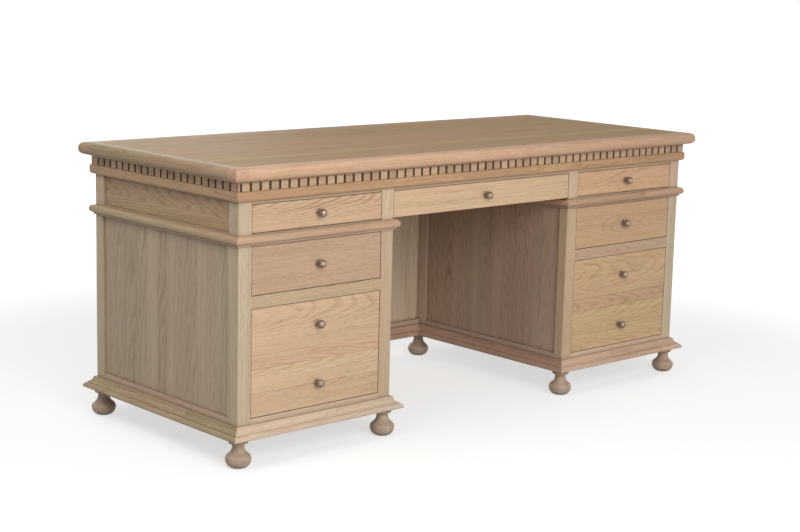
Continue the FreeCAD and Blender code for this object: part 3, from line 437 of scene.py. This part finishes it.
OAKS = {
    "oak_top": Oak(colour(180, 148, 110), colour(141, 108, 72), 0.4, plank=0.06, roughness=0.55, gloss=0.08),
    "oak_lipping": Oak(colour(206, 172, 146), colour(164, 126, 98), 0.35, segment=0.3, gloss=0.07),
    "oak_moulding": Oak(colour(198, 167, 140), colour(152, 118, 92), 0.4, segment=0.26),
    "oak_dentil": Oak(colour(186, 158, 131), colour(141, 110, 86), 0.35, spread=0.22),
    "oak_frame": Oak(colour(202, 180, 157), colour(166, 140, 115), 0.45),
    "oak_panel": Oak(colour(190, 168, 146), colour(144, 120, 100), 0.5, plank=0.045),
    "oak_drawer_front": Oak(colour(214, 184, 155), colour(168, 134, 104), 0.55, roughness=0.48),
    "oak_drawer_lining": Oak(colour(212, 184, 150), colour(178, 146, 112), 0.4, roughness=0.6, corner_shaded=False),
    "oak_inside": Oak(colour(196, 168, 134), colour(162, 132, 102), 0.4, roughness=0.65, corner_shaded=False),
    "oak_feet": Oak(colour(184, 164, 148), colour(136, 112, 97), 0.5, spread=0.08),
}


class OakShader(Shader):
    """Makes the material of one kind of oak in steps. Each step leaves what it finds for the next ones."""

    def __init__(self, name, oak):
        self.material = bpy.data.materials.new(name)
        super().__init__(self.material)
        self.name = name
        self.oak = oak
        self.place = self.attribute("grain_place")
        self.pith = self.attribute("grain_pith")
        self.kerf, self.height, self.figure = self.split(self.attribute("board_marks"))
        self.run, self.offset, _ = self.split(self.place)
        self.seed = self.split(self.pith)[0]
        self.find_pieces()
        self.draw_rings()
        self.draw_fibres()
        self.lacquer(self.shaded(self.tinted(self.bare_wood())))

    def by_plank(self, share, values):
        """The value for each plank of a glued front, by the share of the front's height."""
        result = values[0]
        for joint, below, above in zip(FRONT_SEAMS, values, values[1:]):
            over = self.maths("GREATER_THAN", share, joint)
            result = self.maths("MULTIPLY_ADD", over, above - below, result)
        return result

    def find_front_planks(self):
        """Finds the planks of glued fronts and their seams. Any other front stays one plank."""
        glued = self.maths("GREATER_THAN", self.height, 0.0)
        share = self.maths("ADD", self.maths("DIVIDE", self.offset, self.height), 0.5)
        centre = self.maths("SUBTRACT", self.by_plank(share, FRONT_CENTRES), 0.5)
        self.centre = self.maths("MULTIPLY", centre, self.height)
        self.plank = self.maths("MULTIPLY", self.by_plank(share, FRONT_NUMBERS), glued)
        self.warmth = self.maths("MULTIPLY", self.by_plank(share, FRONT_WARMTHS), glued)
        self.shade = self.maths("MULTIPLY", self.by_plank(share, FRONT_SHADES), glued)
        seam = 0.0
        for joint in FRONT_SEAMS:
            seam = self.maths("MAXIMUM", seam, self.maths("COMPARE", share, joint, FRONT_SEAM_SHARE))
        self.seam = self.maths("MULTIPLY", seam, glued)

    def find_pieces(self):
        """Finds the pieces that a board is glued up from. Each has its own tint and place in the log."""
        self.plank = self.segment = self.centre = self.warmth = self.shade = 0.0
        self.seam = None
        if self.oak.plank:
            self.plank = self.cells(self.offset, self.oak.plank)
            self.centre = self.maths("MULTIPLY", self.plank, self.oak.plank)
        if self.oak.segment:
            shift = self.maths("MULTIPLY", self.seed, JOINT_REACH)
            self.segment = self.cells(self.maths("ADD", self.run, shift), self.oak.segment)
        if self.name == "oak_drawer_front":
            self.find_front_planks()
        if self.name == "oak_dentil":
            self.segment = self.maths("FLOOR", self.maths("DIVIDE", self.run, DENTIL_PITCH))
        piece = self.centred(self.chance(self.join(self.plank, self.segment, self.seed)))
        self.piece_warmth, self.piece_shade, _ = self.split(piece)
        self.apart = self.vector_maths("MULTIPLY", piece, PIECE_REACH)
        board = self.vector_maths("SUBTRACT", self.place, self.join(self.seed, 0.0, 0.0))
        self.board = self.vector_maths("ADD", board, self.apart)

    def draw_rings(self):
        """Draws the rings round the pith, which wanders, so that they bend into loops and arches."""
        bend = self.centred(self.noise(self.board, BENDS)["Color"])
        ripple = self.centred(self.noise(self.board, RIPPLES)["Color"])
        ripple = self.vector_maths("MULTIPLY", ripple, RIPPLE_REACH)
        drift = self.vector_maths("ADD", self.vector_maths("MULTIPLY", bend, BEND_REACH), ripple)
        aside = self.vector_maths("MULTIPLY", drift, (0.0, 1.0, 0.0))
        self.bent = self.vector_maths("ADD", self.board, aside)

        from_pith = self.vector_maths("SUBTRACT", self.place, self.pith)
        from_pith = self.vector_maths("ADD", from_pith, self.apart)
        from_pith = self.vector_maths("SUBTRACT", from_pith, self.join(0.0, self.centre, 0.0))
        _, across, depth = self.split(self.vector_maths("ADD", from_pith, drift))
        square = self.maths("MULTIPLY_ADD", across, across, self.maths("MULTIPLY", depth, depth))
        radius = self.maths("SQRT", square)
        rings = self.maths("DIVIDE", radius, RING_WIDTH)
        early = self.remap(self.maths("FRACT", rings), 0.0, EARLY_WOOD, 1.0, 0.0, smooth=True)
        years = self.noise(self.join(rings, self.seed, 0.0), YEARS, roughness=0.6)["Fac"]
        line = self.maths("MULTIPLY", early, self.remap(years, *YEAR_NOISE, WORST_YEAR, 1.0))

        # Rings that meet the face at a shallow angle show broad and strong, and upright ones fine and faint.
        slant = self.maths("DIVIDE", self.maths("ABSOLUTE", depth), radius)
        strength = self.remap(slant, *SLANTS, UPRIGHT_RING, 1.0, smooth=True)
        self.line = self.maths("MULTIPLY", line, strength)

    def draw_fibres(self):
        """Draws what lies along the board: clouds, streaks, fibres, dashes, pores and flecks."""
        self.cloud = self.split(self.centred(self.noise(self.board, CLOUDS)["Color"]))
        self.streak = self.noise(self.bent, STREAKS, roughness=0.55)
        self.fibre = self.noise(self.bent, FIBRES, detail=3.0, roughness=0.6)["Fac"]
        self.dash = self.noise(self.bent, DASHES, roughness=0.6)["Fac"]
        pores = self.noise(self.bent, PORES, detail=1.0)["Fac"]
        pores = self.remap(pores, *PORE_NOISE, smooth=True)
        self.pores = self.maths("MULTIPLY", pores, self.remap(self.line, 0.0, 1.0, PORES_BETWEEN, 1.0))
        flecks = self.noise(self.bent, FLECKS, detail=1.0, roughness=0.4)["Fac"]
        self.flecks = self.remap(flecks, *FLECK_NOISE, smooth=True)

    def bare_wood(self):
        """The colour of the grain, with pores, flecks and seams of their own colours."""
        rings = self.maths("MULTIPLY", self.figure, self.oak.figure)
        darkness = self.maths("MULTIPLY_ADD", self.line, rings, PLAIN_DARKNESS)
        for grain in (self.streak["Fac"], self.fibre, self.dash):
            about_zero = self.maths("SUBTRACT", grain, 0.5)
            darkness = self.maths("MULTIPLY_ADD", about_zero, GRAIN_DARKNESS, darkness)
        darkness = self.maths("ADD", darkness, 0.0, clamp=True)
        wood = self.mix(darkness, self.oak.light, self.oak.dark)
        wood = self.mix(self.maths("MULTIPLY", self.pores, PORE_STRENGTH), wood, PORE)
        wood = self.mix(self.maths("MULTIPLY", self.flecks, FLECK_STRENGTH), wood, self.oak.light)
        if self.seam is not None:
            wood = self.mix(self.maths("MULTIPLY", self.seam, SEAM_STRENGTH), wood, SEAM)
        return wood

    def tinted(self, wood):
        """Tints the wood by its board, and from straw to pink by its pieces, clouds and streaks."""
        wood = self.vector_maths("MULTIPLY", wood, self.attribute("board_tint"))
        streak_warmth = self.split(self.centred(self.streak["Color"]))[1]
        warmth = self.maths("MULTIPLY_ADD", self.piece_warmth, PIECE_TINT, self.warmth)
        warmth = self.maths("MULTIPLY_ADD", self.cloud[0], CLOUD_WARMTH, warmth)
        warmth = self.maths("MULTIPLY_ADD", streak_warmth, STREAK_WARMTH, warmth)
        tint = self.mix(self.remap(warmth, -FULL_WARMTH, FULL_WARMTH), STRAW, PINK)
        return self.mix(1.0, wood, tint, "MULTIPLY")

    def shaded(self, wood):
        """Lightens or darkens the wood by its pieces and clouds, and paints shade into kerfs, corners and
        joints.
        """
        shade = self.maths("MULTIPLY_ADD", self.piece_shade, PIECE_TINT, self.shade)
        shade = self.maths("MULTIPLY_ADD", self.cloud[1], CLOUD_SHADE, shade)
        value = self.maths("MULTIPLY_ADD", shade, self.oak.spread, 1.0)
        # Painted shade inside kerfs: the floor takes it fully, the cheeks less.
        if self.name == "oak_dentil":
            value = self.maths("MULTIPLY", value, self.remap(self.kerf, 0.0, 1.0, 1.0, KERF_SHADE))
        # Painted shade: corners and joints are darker the less open space the ambient occlusion finds around
        # them.
        if self.oak.corner_shaded:
            corners = self.node("ShaderNodeAmbientOcclusion", {"Distance": CORNER_SHADE_REACH}, samples=CORNER_SHADE_RAYS)
            corner_shade = self.remap(corners.outputs["AO"], *CORNER_SHADE_OPENNESS, CORNER_SHADE_DARKNESS, 1.0)
            value = self.maths("MULTIPLY", value, corner_shade)
        return self.vector_maths("MULTIPLY", wood, self.join(value, value, value))

    def lacquer(self, wood):
        """Gives the wood its roughness, its bump and its lacquer's gloss."""
        fibre = self.maths("SUBTRACT", self.fibre, 0.5)
        rough = self.maths("MULTIPLY_ADD", self.line, LINE_ROUGHNESS, self.oak.roughness)
        rough = self.maths("MULTIPLY_ADD", fibre, FIBRE_ROUGHNESS, rough)
        height = self.maths("MULTIPLY", self.fibre, FIBRE_HEIGHT)
        height = self.maths("MULTIPLY_ADD", self.pores, PORE_HEIGHT, height)
        height = self.maths("MULTIPLY_ADD", self.line, LINE_HEIGHT, height)
        gloss = {"Specular IOR Level": self.oak.gloss}
        self.surface(wood, rough, height, OAK_BUMP_STRENGTH, OAK_BUMP_DEPTH, gloss)


# Knobs

# Spots of patina in a metre, the noise at which the metal is dull and worn bright, the noise at which it is
# rough and smooth, and how rough it is then.
PATINA = (260.0, 260.0, 260.0)
WORN_NOISE = (0.35, 0.7)
ROUGH_NOISE = (0.3, 0.7)
KNOB_ROUGHNESS = (0.6, 0.45)
DULL_METAL = colour(110, 94, 82)
WORN_METAL = colour(182, 164, 148)
KNOB_BUMP_STRENGTH, KNOB_BUMP_DEPTH = 0.3, 0.0002


def knob_metal():
    material = bpy.data.materials.new("knob_metal")
    shader = Shader(material)
    place = shader.node("ShaderNodeTexCoord").outputs["Object"]
    patina = shader.noise(place, PATINA, detail=4.0, roughness=0.6)["Fac"]
    metal = shader.mix(shader.remap(patina, *WORN_NOISE, smooth=True), DULL_METAL, WORN_METAL)
    rough = shader.remap(patina, *ROUGH_NOISE, *KNOB_ROUGHNESS)
    shader.surface(metal, rough, patina, KNOB_BUMP_STRENGTH, KNOB_BUMP_DEPTH, {"Metallic": 1.0})
    return material


def dress_nodes():
    slots = {entry["node"]: entry["material_slot"] for entry in frame["record"]["subparts"]}
    materials = {name: OakShader(name, oak).material for name, oak in OAKS.items()}
    materials["knob_metal"] = knob_metal()
    for name, piece in frame["nodes"].items():
        slot = slots[name]
        if slot in OAKS:
            write_grain(name, piece.data)
        for holder in piece.material_slots:
            holder.material = materials[slot]


# Studio

def area_light(name, place, aim, size, power, tint=(1.0, 1.0, 1.0)):
    lamp = bpy.data.lights.new(name, "AREA")
    lamp.shape = "RECTANGLE"
    lamp.size, lamp.size_y = size
    lamp.energy = power
    lamp.color = tint
    holder = bpy.data.objects.new(name, lamp)
    holder.location = place
    holder.rotation_euler = (Vector(aim) - Vector(place)).to_track_quat("-Z", "Y").to_euler()
    bpy.context.scene.collection.objects.link(holder)


FLOOR_REACH = 12.0
FLOOR_PAINT = (0.5, 0.5, 0.5, 1.0)

# How far from the middle the floor begins and ends to turn into the backdrop, and how much it glows there.
BACKDROP_REACH = (1.3, 3.2)
FLOOR_GLOW = (0.6, 1.0)

# The sky's fill, and its white for the rays that show the background.
FILL_TINT = (0.92, 0.96, 1.0, 1.0)
FILL_STRENGTH = 0.3
WHITE = (1.0, 1.0, 1.0, 1.0)


def floor():
    """A pale floor that takes the desk's shadow and turns into the white backdrop further out."""
    half = FLOOR_REACH
    corners = [(-half, -half, 0), (half, -half, 0), (half, half, 0), (-half, half, 0)]
    mesh = bpy.data.meshes.new("studio_floor")
    mesh.from_pydata(corners, [], [(0, 1, 2, 3)])
    piece = bpy.data.objects.new("studio_floor", mesh)
    bpy.context.scene.collection.objects.link(piece)
    material = bpy.data.materials.new("studio_floor")
    shader = Shader(material)
    paint = shader.node("ShaderNodeBsdfDiffuse", {"Color": FLOOR_PAINT})
    place = shader.node("ShaderNodeTexCoord").outputs["Object"]
    distance = shader.node("ShaderNodeVectorMath", {0: place}, operation="LENGTH").outputs["Value"]
    glow = shader.remap(distance, *BACKDROP_REACH, *FLOOR_GLOW, smooth=True)
    seen = shader.maths("MULTIPLY", glow, shader.background_rays())
    light = shader.node("ShaderNodeEmission", {"Strength": seen})
    both = shader.node("ShaderNodeAddShader", {0: paint.outputs[0], 1: light.outputs[0]})
    shader.node("ShaderNodeOutputMaterial", {"Surface": both.outputs[0]})
    mesh.materials.append(material)


def world():
    """White as a background, and a plain cool fill for the light that reaches the desk."""
    sky = bpy.data.worlds.new("studio")
    bpy.context.scene.world = sky
    shader = Shader(sky)
    fill = shader.node("ShaderNodeBackground", {"Color": FILL_TINT, "Strength": FILL_STRENGTH})
    white = shader.node("ShaderNodeBackground", {"Color": WHITE})
    parts = {0: shader.background_rays(), 1: fill.outputs[0], 2: white.outputs[0]}
    choice = shader.node("ShaderNodeMixShader", parts)
    shader.node("ShaderNodeOutputWorld", {"Surface": choice.outputs[0]})


def lights():
    front = (0, 0, 0.4)
    area_light("front_softbox", (-1.5, -3.6, 2.1), front, (2.4, 1.8), power=87, tint=(1.0, 0.98, 0.94))
    area_light("front_low", (-0.4, -4.8, 0.7), front, (2.4, 1.0), power=37, tint=(1.0, 0.98, 0.95))
    left = (-0.7, 0, 0.3)
    area_light("left_window", (-2.8, -0.4, 3.4), left, (2.2, 1.8), power=39, tint=(0.98, 0.98, 0.96))
    top = (0, 0, 0.8)
    area_light("back_window", (2.2, 5.0, 1.5), top, (1.8, 1.2), power=30, tint=(0.84, 0.93, 1.0))
    area_light("overhead", (-0.2, -0.2, 3.6), (0, 0, 0), (3.0, 2.4), power=4)

    # These stand lower than the desk's top, so they fill its back and right end and leave the top alone.
    level = (0, 0, 0.42)
    area_light("back_fill", (0.5, 4.4, 0.42), level, (2.4, 0.5), power=50)
    area_light("right_fill", (4.2, 0.4, 0.42), level, (1.6, 0.5), power=32)


# Camera, solved from the photograph's edges

SENSOR_MILLIMETRES = 36.0
PHOTO_WIDTH = 800
FOCAL_PIXELS = 1645.0
CAMERA_PLACE = Vector((-3.27823, -3.58113, 1.27555))
VIEW_AZIMUTH = math.radians(42.31)
VIEW_DROP = math.radians(10.39)
VIEW_ROLL = math.radians(1.384)


def camera():
    lens = bpy.data.cameras.new("photo_view")
    lens.sensor_width = SENSOR_MILLIMETRES
    lens.lens = SENSOR_MILLIMETRES * FOCAL_PIXELS / PHOTO_WIDTH
    holder = bpy.data.objects.new("photo_view", lens)
    level = Matrix.Rotation(-VIEW_AZIMUTH, 4, "Z") @ Matrix.Rotation(math.pi / 2 - VIEW_DROP, 4, "X")
    holder.matrix_world = Matrix.Translation(CAMERA_PLACE) @ level @ Matrix.Rotation(VIEW_ROLL, 4, "Z")
    bpy.context.scene.collection.objects.link(holder)
    bpy.context.scene.camera = holder


dress_nodes()
floor()
world()
lights()
camera()
bpy.context.scene.view_settings.view_transform = "Standard"
